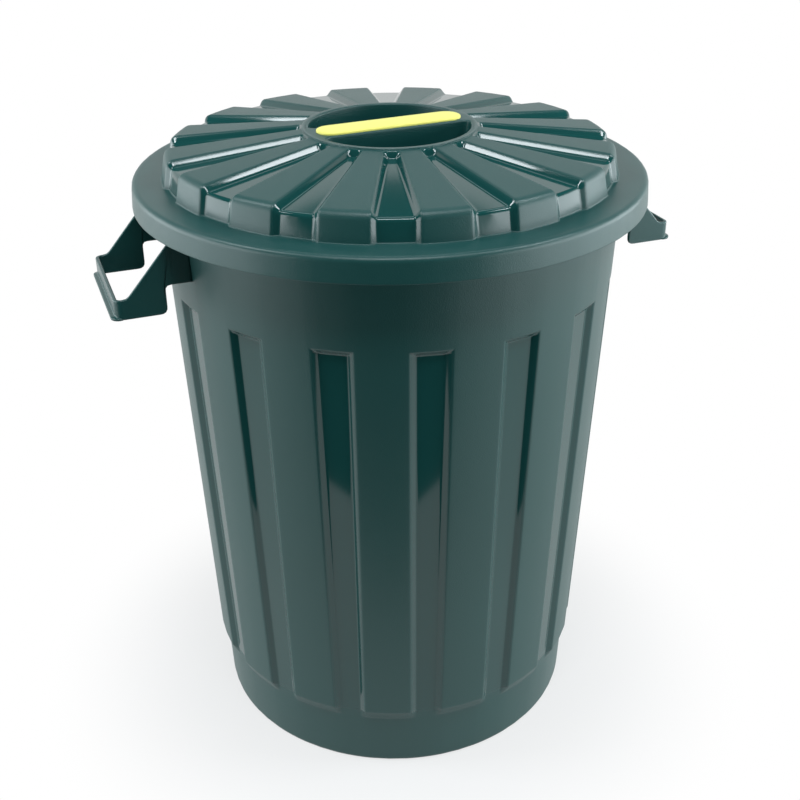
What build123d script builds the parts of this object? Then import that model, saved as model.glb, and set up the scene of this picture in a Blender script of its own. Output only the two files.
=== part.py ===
from build123d import *
import math
import os

# Round refuse bin of about 75 litres in moulded polypropylene.
# A fluted tub with two side handles carries a loose ribbed lid with a pinch grip and a coloured strip.
# Millimetres, +Z up, origin on the ground under the middle of the tub, +X through the right handle.
# The lid and its strip are drawn along +X and then turned as the loose lid lies.

# Tub, overall
body_height = 594.0          # ground to the top of the rim
base_diameter = 392.0        # foot band, at the ground
mouth_diameter = 452.8       # outside of the wall, at the height of the rim
body_wall = 2.6
floor_thickness = 3.2
foot_height = 9.0            # the floor's underside above the ground
foot_edge_radius = 4.0
foot_ring_width = 9.0

# Tub, flutes
flute_count = 16
flute_depth = 5.6
flute_width_top = 39.0       # mouth of a flute, at its top end
flute_width_foot = 33.0      # mouth of a flute, at its foot
flute_flank = 7.6            # width of one sloped side
flute_end_slope = 8.0        # height of the sloped top end
flute_floor_step = 0.25      # the flat flute floors stand out from the foot band by this much
top_band_height = 95.0       # plain band from the rim down to the flutes
foot_band_height = 62.0      # plain band from the ground up to the ribs
rib_foot_slope = 12.0        # height of the sloped lower end of a rib

# Tub, rim
rim_overhang = 16.6
rim_thickness = 2.6
rim_lip_height = 12.0
rim_lip_wall = 2.4
rim_edge_radius = 2.0

# Lid, overall
lid_wall = 2.5
lid_rest_gap = 0.3           # the lid's flange above the rim, so that the faces stay apart
skirt_clearance = 4.2        # rim lip to the inside of the skirt
skirt_height = 23.0
skirt_flare = 1.6            # the skirt's lower edge stands out by this much
lid_edge_radius = 5.0
locating_clearance = 2.2     # tub wall to the locating ring
locating_depth = 12.0
lid_turn = 3.5               # degrees: the loose lid lies turned this far round from the tub's +X

# Lid, dome
dome_wall_height = 26.0
dome_wall_lean = 5.0
dome_edge_radius = 6.0
crown_rise = 13.5            # rib tops, from the dome's edge to the ring round the well
lid_rib_count = 16
lid_groove_depth = 6.2
lid_groove_inset = 4.0       # how far a groove stands back in the dome's side wall
lid_groove_width_outer = 42.8
lid_groove_width_inner = 15.5
lid_groove_flank_outer = 6.0
lid_groove_flank_inner = 4.0
ring_groove_gap = 2.0        # well ring to the inner ends of the grooves

# Lid, well and ridge
well_radius = 79.0
well_depth = 48.0
well_draft = 5.0             # the well is this much smaller in radius at its floor
ring_width = 6.0
ring_height = 1.3
ring_edge_radius = 1.2
ridge_width = 36.0
ridge_draft = 2.5            # the ridge is this much wider on each side at the well's floor
pocket_corner_radius = 6.0
pocket_floor_radius = 3.0

# Yellow strip
strip_end_gap = 4.0          # strip to the well's edge, at each end
strip_side_gap = 3.0         # strip to the ridge's edge, on each side
strip_thickness = 4.0
strip_proud = 2.5            # the strip stands above the ring by this much
strip_edge_radius = 1.4
strip_clearance = 0.2
peg_radius = 3.0
peg_end_distance = 27.0      # middle of a peg to the end of the strip
peg_length = 7.0
peg_clearance = 0.1

# Side handles
handle_width = 124.0         # over both cheek plates
handle_wall = 3.5
handle_corner_radius = 7.0
grip_projection = 61.0       # tub wall at the mouth to the outside of the grip
grip_height = 19.2
grip_drop = 92.0             # rim to the underside of the grip
lip_width = 4.0
lip_height = 3.0
shoulder_drop = 64.4         # rim to the underside of the part of a cheek plate that meets the tub
shoulder_projection = 13.6   # tub wall to the part of a cheek plate that hangs below the shoulder
shoulder_corner_radius = 5.0
hanging_corner_radius = 7.0
slope_drop = 21.0            # rim to the upper end of the sloped front edge
slope_top_radius = 6.0
toe_setback = 11.9           # the sloped front edge meets the grip's top this far in from its outside
toe_radius = 14.0
rim_lip_clearance = 1.4      # cheek plates to the inside of the rim's lip
handle_seat_gap = 0.1

# Worked out from the sizes above
base_radius = base_diameter / 2
mouth_radius = mouth_diameter / 2
rim_radius = mouth_radius + rim_overhang
flute_top_z = body_height - top_band_height
taper = (mouth_radius - base_radius - flute_depth) / body_height
flange_under_z = body_height + lid_rest_gap
flange_top_z = flange_under_z + lid_wall
skirt_inner_radius = rim_radius + skirt_clearance
skirt_outer_radius = skirt_inner_radius + lid_wall
skirt_bottom_z = flange_top_z - skirt_height
locating_radius = mouth_radius - body_wall - locating_clearance
dome_foot_radius = locating_radius
dome_edge_out = dome_foot_radius - dome_wall_lean
dome_edge_z = flange_top_z + dome_wall_height
ring_outer_radius = well_radius + ring_width
crown_z = dome_edge_z + crown_rise
ring_z = crown_z + ring_height
well_floor_z = ring_z - well_depth
strip_bottom_z = ring_z + strip_proud - strip_thickness
strip_length = 2 * (well_radius - strip_end_gap)
strip_width = ridge_width - 2 * strip_side_gap
peg_offset = strip_length / 2 - peg_end_distance
handle_reach = mouth_radius + grip_projection
grip_bottom_z = body_height - grip_drop
cheek_top_reach = math.sqrt((rim_radius - rim_lip_wall - rim_lip_clearance) ** 2 - (handle_width / 2) ** 2)
reach_past = 12.0            # how far a cutting solid runs past the face that it cuts
upright_share = 0.9          # an edge counts as upright from this share of a straight-up direction


def face_radius(z):
    """Radius of the rib faces and of the plain top band at height z."""
    return base_radius + flute_depth + taper * z


def floor_radius(z):
    """Radius of the flute floors and of the foot band at height z."""
    return face_radius(z) - flute_depth


def crown_height(radius):
    """Height of the lid's rib tops at a distance from the middle."""
    share = (dome_edge_out - radius) / (dome_edge_out - ring_outer_radius)
    return dome_edge_z + crown_rise * share


def turned(points, radii=0.0):
    """Solid of revolution round Z from a closed outline of (radius, height) points."""
    outline = FilletPolyline(*points, radius=radii, close=True) if radii else Polyline(*points, close=True)
    return revolve(Plane.XZ * make_face(outline), Axis.Z)


def prism(near, far):
    """Solid between two outlines that have the same number of points."""
    return Solid.make_loft([Wire.make_polygon(near), Wire.make_polygon(far)], ruled=True)


def around(solid, count, phase=0.0):
    """Copies of a solid, evenly spaced round Z."""
    return [solid.rotate(Axis.Z, phase + 360.0 * i / count) for i in range(count)]


def flute_section(z, inset, width, grow):
    """Trapezium of a flute at one height, wider at its mouth, with its flanks carried on outwards."""
    half_mouth = width / 2 + grow
    half_floor = half_mouth - flute_flank
    half_out = half_mouth + reach_past * flute_flank / flute_depth
    floor_r = floor_radius(z) + flute_floor_step - inset
    outer_r = face_radius(z) - inset + reach_past
    return [(floor_r, -half_floor, z), (floor_r, half_floor, z), (outer_r, half_out, z), (outer_r, -half_out, z)]


def flute_cutter(inset, grow):
    """One flute along +X with a flat floor. The inset moves it inwards by the wall, and grow widens it."""
    low_z = foot_band_height - reach_past
    width_slope = (flute_width_top - flute_width_foot) / (flute_top_z - foot_band_height)
    low_width = flute_width_foot - width_slope * reach_past
    column = prism(flute_section(low_z, inset, low_width, grow),
                   flute_section(flute_top_z + grow, inset, flute_width_top, grow))
    return column - flute_end(inset, flute_top_z + grow)


def flute_end(inset, high_z):
    """What slopes the top end of a flute, from its mouth at the given height down to its floor."""
    outer_r = face_radius(high_z) - inset
    lean = flute_end_slope / flute_depth
    inner_r = outer_r - flute_depth - reach_past
    wide = flute_width_top * 2
    low_z = high_z - lean * (outer_r - inner_r)
    far_z = high_z + lean * reach_past
    outline = Polyline((inner_r, low_z), (outer_r + reach_past, far_z), (inner_r, far_z), close=True)
    return extrude(Plane.XZ * make_face(outline), wide, both=True)


def tub_shape(inset, grow, low_z, top_z):
    """The tub without its rim as a solid between two heights, moved inwards by inset, with its flutes."""
    rib_low = foot_band_height - grow
    rib_full = foot_band_height + rib_foot_slope - grow
    ribbed = turned([
        (0, low_z), (floor_radius(low_z) - inset, low_z), (floor_radius(rib_low) - inset, rib_low),
        (face_radius(rib_full) - inset, rib_full), (face_radius(top_z) - inset, top_z), (0, top_z),
    ], [0, foot_edge_radius, 0, 0, 0, 0])
    return ribbed - around(flute_cutter(inset, grow), flute_count, 180.0 / flute_count)


def rim():
    """Out-turned rim flange with its turned-down lip."""
    wall_in = mouth_radius - body_wall
    under_z = body_height - rim_thickness
    lip_in = rim_radius - rim_lip_wall
    lip_z = body_height - rim_lip_height
    outline = [
        (wall_in, body_height), (rim_radius, body_height), (rim_radius, lip_z), (lip_in, lip_z),
        (lip_in, under_z), (wall_in, under_z),
    ]
    return turned(outline, [0, rim_edge_radius, 0, 0, 0, 0])


def foot_recess():
    """Space under the raised floor, inside the foot ring."""
    top_r = floor_radius(foot_height) - foot_ring_width
    return turned([(0, -reach_past), (top_r, -reach_past), (top_r, foot_height), (0, foot_height)],
                  [0, 0, foot_edge_radius, 0])


def bin_body():
    """Fluted tub: outer shape less its inside, with the rim and the raised floor."""
    outside = tub_shape(0.0, 0.0, 0.0, body_height)
    inside = tub_shape(body_wall, body_wall / 2, foot_height + floor_thickness, body_height + reach_past)
    return outside + rim() - inside - foot_recess()


def lid_outer_shape():
    """Lid as a filled solid, from the bottom of the skirt to the ring, before its grooves and well."""
    bottom_r = skirt_outer_radius + skirt_flare
    outline = [
        (0, skirt_bottom_z), (bottom_r, skirt_bottom_z), (skirt_outer_radius, flange_top_z),
        (dome_foot_radius, flange_top_z), (dome_edge_out, dome_edge_z),
        (ring_outer_radius, crown_z), (ring_outer_radius, ring_z), (0, ring_z),
    ]
    return turned(outline, [0, 0, lid_edge_radius, 0, dome_edge_radius, 0, ring_edge_radius, 0])


def lid_inner_shape():
    """Space under the lid: inside the skirt, round the locating ring and under the dome."""
    bottom_r = skirt_inner_radius + skirt_flare
    ring_z_low = flange_under_z - locating_depth
    ring_in = locating_radius - lid_wall
    edge_r = dome_edge_out - lid_wall
    under_skirt = turned([
        (locating_radius, skirt_bottom_z - reach_past), (bottom_r, skirt_bottom_z - reach_past),
        (bottom_r, skirt_bottom_z), (skirt_inner_radius, flange_under_z), (locating_radius, flange_under_z),
    ], [0, 0, 0, lid_edge_radius - lid_wall, 0])
    below_ring = turned([
        (0, skirt_bottom_z - reach_past), (locating_radius, skirt_bottom_z - reach_past),
        (locating_radius, ring_z_low), (0, ring_z_low),
    ])
    under_dome = turned([
        (0, ring_z_low), (ring_in, ring_z_low), (ring_in, flange_top_z),
        (edge_r, dome_edge_z - lid_wall), (ring_outer_radius, crown_z - lid_wall), (0, crown_z - lid_wall),
    ], [0, 0, 0, dome_edge_radius - lid_wall, 0, 0])
    return under_skirt + below_ring + under_dome


def groove_top_section(radius, half_floor, flank, drop):
    """Trapezium across a lid groove at one radius, standing upright."""
    floor_z = crown_height(radius) - drop
    rise = lid_groove_depth + reach_past
    half_top = half_floor + flank * rise / lid_groove_depth
    return [(radius, -half_floor, floor_z), (radius, half_floor, floor_z),
            (radius, half_top, floor_z + rise), (radius, -half_top, floor_z + rise)]


def groove_wall_section(z, half_floor, inset):
    """Trapezium of a lid groove in the dome's side wall at one height, lying flat."""
    lean = dome_wall_lean / dome_wall_height
    floor_r = dome_foot_radius - lean * (z - flange_top_z) - inset
    run = lid_groove_inset + reach_past
    half_out = half_floor + lid_groove_flank_outer * run / lid_groove_inset
    return [(floor_r, -half_floor, z), (floor_r, half_floor, z),
            (floor_r + run, half_out, z), (floor_r + run, -half_out, z)]


def lid_groove(sink, grow):
    """One groove of the lid along +X, over the top and down the side wall."""
    inner_r = ring_outer_radius + ring_groove_gap - grow
    outer_r = dome_foot_radius - lid_groove_inset - sink
    half_inner = lid_groove_width_inner / 2 - lid_groove_flank_inner + grow
    half_outer = lid_groove_width_outer / 2 - lid_groove_flank_outer + grow
    drop = lid_groove_depth + sink
    over_top = prism(groove_top_section(inner_r, half_inner, lid_groove_flank_inner, drop),
                     groove_top_section(outer_r + reach_past, half_outer, lid_groove_flank_outer, drop))
    low_z = flange_top_z - sink
    down_wall = prism(groove_wall_section(low_z, half_outer, lid_groove_inset + sink),
                      groove_wall_section(dome_edge_z, half_outer, lid_groove_inset + sink))
    return over_top + down_wall


def pocket(side, grow):
    """One of the two half-round pockets of the grip, beside the ridge. Side is +1 or -1 along Y."""
    floor_z = well_floor_z - grow
    top_z = ring_z + reach_past
    draft = well_draft / well_depth
    well = Solid.make_cone(well_radius - well_draft + grow, well_radius + draft * reach_past + grow,
                           top_z - floor_z, Plane.XY.offset(floor_z))
    lean = ridge_draft / well_depth
    near_low = ridge_width / 2 + ridge_draft - grow
    near_top = ridge_width / 2 - lean * reach_past - grow
    far = well_radius * 2
    keep = prism(
        [(-far, side * near_low, floor_z), (far, side * near_low, floor_z),
         (far, side * far, floor_z), (-far, side * far, floor_z)],
        [(-far, side * near_top, top_z), (far, side * near_top, top_z),
         (far, side * far, top_z), (-far, side * far, top_z)],
    )
    cup = well & keep
    corners = cup.edges().filter_by(lambda edge: abs(edge.tangent_at(0.5).Z) > upright_share)
    cup = fillet(corners, pocket_corner_radius + grow)
    return fillet(cup.faces().sort_by(Axis.Z)[0].edges(), pocket_floor_radius + grow)


def slot_outline(length, width, height):
    """Straight slot with round ends, its underside at Z = 0."""
    return extrude(SlotOverall(length, width), height)


def lid():
    """Ribbed lid with its skirt, locating ring, two-pocket well and hollow ridge."""
    shell = lid_outer_shape() - around(lid_groove(0.0, 0.0), lid_rib_count)
    pockets = [pocket(1, 0.0), pocket(-1, 0.0)]
    hollow = lid_inner_shape() - around(lid_groove(lid_wall, lid_wall / 2), lid_rib_count)
    hollow -= [pocket(1, lid_wall), pocket(-1, lid_wall)]
    slot = Pos(0, 0, strip_bottom_z) * slot_outline(
        strip_length + 2 * strip_clearance, strip_width + 2 * strip_clearance, reach_past)
    backing_z = strip_bottom_z - lid_wall
    backing = Pos(0, 0, backing_z) * slot_outline(
        strip_length + 2 * lid_wall, strip_width + 2 * lid_wall, lid_wall)
    hollow -= backing
    peg_hole = Cylinder(peg_radius + peg_clearance, 2 * reach_past)
    holes = [Pos(side * peg_offset, 0, strip_bottom_z) * peg_hole for side in (-1, 1)]
    return shell - pockets - hollow - slot - holes


def grip_strip():
    """Yellow strip with rounded edges and the two pegs on its underside."""
    bar = slot_outline(strip_length, strip_width, strip_thickness)
    bar = fillet(bar.faces().sort_by(Axis.Z)[-1].edges(), strip_edge_radius)
    peg = Pos(0, 0, -peg_length / 2) * Cylinder(peg_radius, peg_length)
    pegs = [Pos(side * peg_offset, 0, 0) * peg for side in (-1, 1)]
    return Pos(0, 0, strip_bottom_z) * (bar + pegs)


def cheek_shape():
    """Side view of a handle as a thick solid: shoulder under the rim, sloped front edge, grip at the end."""
    grip_top = grip_bottom_z + grip_height
    rim_under = body_height - rim_thickness - handle_seat_gap
    inside = base_radius - reach_past
    hanging_reach = mouth_radius + shoulder_projection
    points = [
        (inside, body_height - shoulder_drop), (hanging_reach, body_height - shoulder_drop),
        (hanging_reach, grip_bottom_z), (handle_reach + lip_width, grip_bottom_z),
        (handle_reach + lip_width, grip_top), (handle_reach - toe_setback, grip_top),
        (cheek_top_reach, body_height - slope_drop), (cheek_top_reach, rim_under), (inside, rim_under),
    ]
    radii = [0, shoulder_corner_radius, hanging_corner_radius, 0, 0, toe_radius, slope_top_radius, 0, 0]
    outline = Plane.XZ * make_face(FilletPolyline(*points, radius=radii, close=True))
    return extrude(outline, handle_width, both=True)


def handle_right():
    """Side handle on the +X side: two cheek plates joined by the grip, with its turned-out lip."""
    depth = 2 * (handle_reach - base_radius + reach_past)
    middle = handle_reach - depth / 2
    outer = Pos(middle, 0) * RectangleRounded(depth, handle_width, handle_corner_radius)
    inner = Pos(middle, 0) * RectangleRounded(
        depth - 2 * handle_wall, handle_width - 2 * handle_wall, handle_corner_radius - handle_wall)
    band = extrude(outer - inner, body_height)
    lip_depth = 2 * handle_corner_radius + lip_width
    lip_plate = Pos(handle_reach + lip_width - lip_depth / 2, 0) * RectangleRounded(
        lip_depth, handle_width, handle_corner_radius)
    lip = Pos(0, 0, grip_bottom_z) * extrude(lip_plate - inner, lip_height)
    grown_tub = turned([
        (0, 0), (face_radius(0) + handle_seat_gap, 0),
        (face_radius(body_height) + handle_seat_gap, body_height), (0, body_height),
    ])
    return (band + lip) & cheek_shape() - grown_tub


def handle_left():
    """The same handle on the other side."""
    return handle_right().rotate(Axis.Z, 180)


def save(name, shape):
    """Write one piece as a STEP file under its name."""
    solids = shape.solids()
    solid = solids[0] if len(solids) == 1 else Compound(children=list(solids))
    solid.label = name
    export_step(solid, os.path.join("parts", name + ".step"))
    print(name, len(solids), "solid", round(shape.volume / 1000, 1), "cm3")


os.makedirs("parts", exist_ok=True)
save("bin_body", bin_body())
save("lid", lid().rotate(Axis.Z, lid_turn))
save("grip_strip", grip_strip().rotate(Axis.Z, lid_turn))
save("handle_left", handle_left())
save("handle_right", handle_right())
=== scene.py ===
"""A round plastic waste bin with a loose ribbed lid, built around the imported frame.

Sizes in the classes are millimetres; meshes are written in metres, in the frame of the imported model.
The tub stands on the ground with its two handles along X, and the lid lies turned a little on it.
"""

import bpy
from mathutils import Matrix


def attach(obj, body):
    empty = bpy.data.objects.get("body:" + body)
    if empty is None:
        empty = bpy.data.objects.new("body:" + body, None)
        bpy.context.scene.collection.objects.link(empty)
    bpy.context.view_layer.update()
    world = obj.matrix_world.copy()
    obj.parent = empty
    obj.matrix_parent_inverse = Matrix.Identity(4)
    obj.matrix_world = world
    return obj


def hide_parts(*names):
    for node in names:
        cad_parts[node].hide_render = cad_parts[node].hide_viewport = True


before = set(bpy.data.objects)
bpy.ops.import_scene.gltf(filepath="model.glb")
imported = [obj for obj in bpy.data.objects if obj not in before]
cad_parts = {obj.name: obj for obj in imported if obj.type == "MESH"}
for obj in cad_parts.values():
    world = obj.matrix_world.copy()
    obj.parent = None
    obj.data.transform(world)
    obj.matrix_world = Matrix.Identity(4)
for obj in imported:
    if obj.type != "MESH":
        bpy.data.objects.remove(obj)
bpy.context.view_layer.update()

import logging
import math
from dataclasses import dataclass, field
from enum import Enum
from typing import Any, Optional, Sequence

import bmesh
import bpy
import numpy as np
from mathutils import Matrix, Vector

Array = np.ndarray
MM = 0.001
GLOSS = "gloss"
WELD = 2e-6
LID_TURN = 3.5
log = logging.getLogger("waste_bin")


class Body(Enum):
    """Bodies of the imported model."""

    TUB = "tub"
    LID = "lid_body"


class Slot(Enum):
    """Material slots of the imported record."""

    GREEN = "green_polypropylene"
    YELLOW = "yellow_polypropylene"


# Shapes

def soft_min(a: Array, b: Array, soft: float) -> Array:
    """Smaller of two values, rounded where they are near each other.

    The plain minimum less a quarter of soft times the square of how far the two are inside soft.

    Args:
        a: first values.
        b: second values.
        soft: difference at which the rounding starts.

    Returns:
        The rounded minimum.
    """
    near = np.maximum(1.0 - np.abs(a - b) / soft, 0.0)
    return np.minimum(a, b) - 0.25 * soft * near ** 2


def soft_clamp(share: Array, top_soft: float, floor_soft: float) -> Array:
    """Clamp a rising ramp to 0..1 with rounded ends: the edge at 0 and the inner corner at 1.

    Args:
        share: ramp values.
        top_soft: half length of the rounding at 0, in ramp units.
        floor_soft: half length of the rounding at 1, in ramp units.

    Returns:
        Values from 0 to 1.
    """
    above = -soft_min(-share, np.zeros_like(share), top_soft)
    return soft_min(above, np.ones_like(share), floor_soft)


def eased_line(corners: Sequence[Sequence[float]], reaches: Sequence[float], steps: int = 4,
               support: float = 0.8) -> Array:
    """Open line through corners, each corner replaced by a quadratic curve.

    The curve starts and ends at reach from its corner and is pulled towards it: for t from 0 to 1 a
    point is (1-t)^2 start + 2t(1-t) corner + t^2 end. A point stands support further out on each side,
    which keeps the flat runs flat when they are shaded smooth.

    Args:
        corners: points of the line, first and last included.
        reaches: one length per corner; 0 keeps the corner as a single point.
        steps: spans of each curve.
        support: distance of the extra points.

    Returns:
        Array of points, one per row.
    """
    points = np.asarray(corners, float)
    made = [points[:1]]
    t = np.linspace(0.0, 1.0, steps + 1)[:, None]
    for i in range(1, len(points) - 1):
        corner = points[i]
        before = points[i - 1] - corner
        after = points[i + 1] - corner
        room_before = np.linalg.norm(before)
        room_after = np.linalg.norm(after)
        before = before / room_before
        after = after / room_after
        reach = reaches[i]
        if reach <= 0.0:
            made.append(corner[None])
            continue
        start = corner + before * reach
        end = corner + after * reach
        curve = (1 - t) ** 2 * start + 2 * t * (1 - t) * corner + t ** 2 * end
        if room_before > reach + 2 * support:
            made.append((start + before * support)[None])
        made.append(curve)
        if room_after > reach + 2 * support:
            made.append((end + after * support)[None])
    made.append(points[-1:])
    return np.vstack(made)


def along(points: Array, shares: Array) -> Array:
    """Points at given shares of the length of a line.

    Args:
        points: the line, one point per row.
        shares: 0 at its start, 1 at its end.

    Returns:
        One point per share, by straight interpolation on the length.
    """
    run = np.concatenate([[0.0], np.cumsum(np.linalg.norm(np.diff(points, axis=0), axis=1))])
    wanted = shares * run[-1]
    return np.stack([np.interp(wanted, run, points[:, k]) for k in range(points.shape[1])], axis=1)


def polar(radius: Array, angle: Array, height: Array) -> Array:
    """Points from radius, angle and height: (r cos a, r sin a, z)."""
    radius, angle, height = np.broadcast_arrays(radius, angle, height)
    return np.stack([radius * np.cos(angle), radius * np.sin(angle), height], axis=-1)


def turned_about_z(points: Array, degrees: float) -> Array:
    """Points turned about Z.

    Args:
        points: one point per row.
        degrees: angle of the turn.

    Returns:
        The turned points.
    """
    a = math.radians(degrees)
    turn = np.array([[math.cos(a), math.sin(a), 0.0], [-math.sin(a), math.cos(a), 0.0], [0.0, 0.0, 1.0]])
    return points @ turn


@dataclass
class Patch:
    """A grid of points with a gloss share for each. Its last column joins the first.

    Attributes:
        points: rows x columns x 3, in millimetres.
        gloss: rows x columns, 0 satin and 1 polished.
        start_pole: closes the first row with one point.
        end_pole: closes the last row with one point.
    """

    points: Array
    gloss: Array
    start_pole: Optional[Sequence[float]] = None
    end_pole: Optional[Sequence[float]] = None

    def faces(self, first: int) -> list[tuple[int, ...]]:
        """Corner numbers of the grid's quads and of the triangles round its poles.

        Args:
            first: number of the patch's first point in the mesh.

        Returns:
            A list of corner tuples.
        """
        rows, columns = self.gloss.shape
        number = first + np.arange(rows * columns).reshape(rows, columns)
        ahead = np.roll(number, -1, axis=1)
        quads = np.stack([number[:-1], ahead[:-1], ahead[1:], number[1:]], axis=-1).reshape(-1, 4)
        made = quads.tolist()
        pole = first + rows * columns
        if self.start_pole is not None:
            fan = np.stack([ahead[0], number[0], np.full(number.shape[1], pole)], axis=-1)
            made += fan.tolist()
            pole += 1
        if self.end_pole is not None:
            fan = np.stack([number[-1], ahead[-1], np.full(number.shape[1], pole)], axis=-1)
            made += fan.tolist()
        return made

    def listed(self) -> tuple[Array, Array]:
        """Flat lists of the points and of their gloss.

        Returns:
            Points and gloss, the poles last.
        """
        points = [self.points.reshape(-1, 3)]
        gloss = [self.gloss.reshape(-1)]
        if self.start_pole is not None:
            points.append(np.array([self.start_pole], float))
            gloss.append(self.gloss[0, :1])
        if self.end_pole is not None:
            points.append(np.array([self.end_pole], float))
            gloss.append(self.gloss[-1, :1])
        return np.vstack(points), np.concatenate(gloss)


def placed(name: str, data: bpy.types.ID) -> bpy.types.Object:
    """Put a new object with some data in the scene.

    Args:
        name: object name.
        data: its mesh, light or camera.

    Returns:
        The object, at the origin.
    """
    made = bpy.data.objects.new(name, data)
    bpy.context.scene.collection.objects.link(made)
    return made


def piece(name: str, patches: Sequence[Patch], turn: float = 0.0) -> bpy.types.Object:
    """One closed mesh object from patches that share their edge points.

    The patches' points are put together, equal points are merged, and the faces are turned outwards.

    Args:
        name: object name.
        patches: grids that close into a shell.
        turn: degrees about Z, applied to the points.

    Returns:
        The object, at the origin, with its place in its mesh and a gloss attribute.
    """
    points: list[Array] = []
    gloss: list[Array] = []
    faces: list[Any] = []
    count = 0
    for patch in patches:
        faces += patch.faces(count)
        at, share = patch.listed()
        points.append(at)
        gloss.append(share)
        count += len(at)
    mesh = bpy.data.meshes.new(name)
    mesh.from_pydata(turned_about_z(np.vstack(points), turn) * MM, [], faces)
    layer = mesh.attributes.new(GLOSS, "FLOAT", "POINT")
    layer.data.foreach_set("value", np.concatenate(gloss).astype(np.float32))
    shell = bmesh.new()
    shell.from_mesh(mesh)
    bmesh.ops.remove_doubles(shell, verts=shell.verts[:], dist=WELD)
    bmesh.ops.recalc_face_normals(shell, faces=shell.faces[:])
    open_edges = sum(1 for edge in shell.edges if not edge.is_manifold)
    shell.to_mesh(mesh)
    shell.free()
    mesh.polygons.foreach_set("use_smooth", np.ones(len(mesh.polygons), bool))
    mesh.update()
    triangles = sum(len(face.vertices) - 2 for face in mesh.polygons)
    log.info("%s: %d triangles, %d open edges", name, triangles, open_edges)
    return placed(name, mesh)


@dataclass(frozen=True)
class Sectors:
    """Equal sectors round the axis, each with one channel, and the columns that follow its edges.

    Attributes:
        count: number of channels.
        phase: angle of the first channel's middle, in degrees.
        marks: ramp values of the columns on one side, from the rib to the floor of the channel.
    """

    count: int
    phase: float
    marks: tuple[float, ...]

    def columns(self, half_mouth: Array, flank: Array, radius: Array) -> tuple[Array, Array]:
        """Angles and ramp values of every column for each row.

        A mark u stands at the distance half_mouth - u flank from the channel's middle, so that u is 0 at
        the mouth's edge and 1 at the floor's edge. The angle is that distance over the radius.

        Args:
            half_mouth: half width of the mouth in each row.
            flank: width of one sloped side in each row.
            radius: radius of each row.

        Returns:
            Angles in radians and ramp values, each rows x columns.
        """
        marks = np.array(self.marks)
        half_mouth, flank, radius = (np.asarray(v, float)[:, None] for v in (half_mouth, flank, radius))
        away = half_mouth - marks * flank
        pitch = 2 * math.pi / self.count
        rib = np.full_like(half_mouth, pitch / 2)
        middle = np.zeros_like(half_mouth)
        side = np.hstack([rib, away / radius, middle])
        ramp_rib = (half_mouth - rib * radius) / flank
        ramp_middle = half_mouth / flank
        ramp = np.hstack([ramp_rib, np.broadcast_to(marks, away.shape), ramp_middle])
        angles = np.hstack([-side, side[:, -2:0:-1]])
        ramps = np.hstack([ramp, ramp[:, -2:0:-1]])
        centres = math.radians(self.phase) + pitch * np.arange(self.count)
        placed_angles = (centres[:, None, None] + angles[None]).transpose(1, 0, 2)
        return placed_angles.reshape(len(half_mouth), -1), np.tile(ramps, (1, self.count))


# Finishes

def linear(code: str) -> tuple[float, float, float, float]:
    """Linear colour of an sRGB hex code such as 0F3A38.

    Args:
        code: six hex digits.

    Returns:
        Red, green, blue and alpha for a colour socket.
    """
    parts = np.array([int(code[i:i + 2], 16) for i in (0, 2, 4)]) / 255.0
    low, high = parts / 12.92, ((parts + 0.055) / 1.055) ** 2.4
    red, green, blue = np.where(parts <= 0.04045, low, high)
    return float(red), float(green), float(blue), 1.0


def node(tree: bpy.types.NodeTree, kind: str, links: Optional[dict[Any, Any]] = None,
         values: Optional[dict[Any, Any]] = None, **settings: Any) -> bpy.types.Node:
    """Add a node with its settings, socket values and links.

    Args:
        tree: node tree.
        kind: node type name.
        links: input socket name or number to an output socket.
        values: input socket name or number to a constant.
        settings: properties of the node.

    Returns:
        The new node.
    """
    made = tree.nodes.new(kind)
    for name, value in settings.items():
        setattr(made, name, value)
    for name, value in (values or {}).items():
        made.inputs[name].default_value = value
    for name, source in (links or {}).items():
        tree.links.new(source, made.inputs[name])
    return made


def empty_tree(owner: Any) -> bpy.types.NodeTree:
    """Node tree of a new material or world, with nothing in it.

    Args:
        owner: the material or world.

    Returns:
        Its node tree.
    """
    owner.use_nodes = True
    owner.node_tree.nodes.clear()
    return owner.node_tree


def seen_plainly(tree: bpy.types.NodeTree) -> bpy.types.NodeSocket:
    """Output that is 1 for rays from the camera, in reflections and through clear things, and 0 for others.

    Args:
        tree: node tree of the floor's material or of the world.

    Returns:
        The larger of the three Light Path outputs.
    """
    path = node(tree, "ShaderNodeLightPath")
    seen = node(tree, "ShaderNodeMath", {0: path.outputs["Is Camera Ray"],
                                         1: path.outputs["Is Glossy Ray"]}, operation="MAXIMUM")
    return node(tree, "ShaderNodeMath", {0: seen.outputs[0], 1: path.outputs["Is Transmission Ray"]},
                operation="MAXIMUM").outputs[0]


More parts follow.
